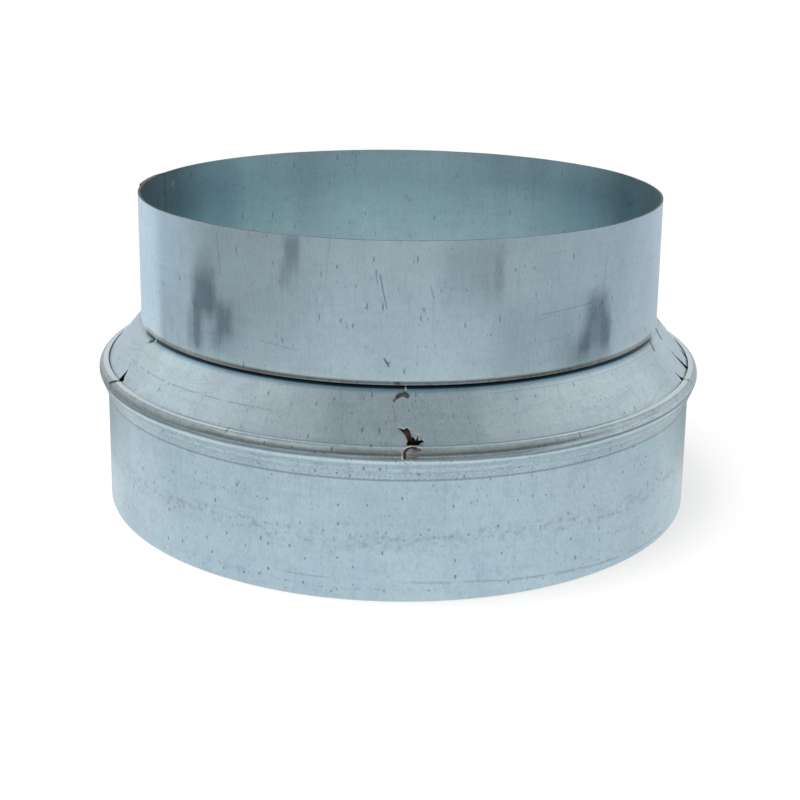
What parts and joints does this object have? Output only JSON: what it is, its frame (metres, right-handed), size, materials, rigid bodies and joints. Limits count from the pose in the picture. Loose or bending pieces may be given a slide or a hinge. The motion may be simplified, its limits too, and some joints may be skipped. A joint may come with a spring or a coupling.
{
  "type": "round duct reducer",
  "caption": "Round duct reducer in galvanised sheet: a large collar with a rolled bead, a cone ring and a small collar, open right through.",
  "frame": {"origin": "centre of the large collar's open end, in the plane of its rim", "axes": "+Z along the duct's axis, from the large end to the small end; the front in the picture faces -Y"},
  "size_m": [0.1844, 0.1844, 0.0925],
  "materials": {
    "galvanised_sheet": "zinc-coated sheet, cold rolled, smooth with faint streaks",
    "galvanised_pressing": "zinc-coated sheet, spun or pressed, slightly duller"
  },
  "bodies": {
    "root": {"large_collar": "galvanised_sheet", "cone_ring": "galvanised_pressing", "small_collar": "galvanised_sheet"}
  },
  "joints": []
}
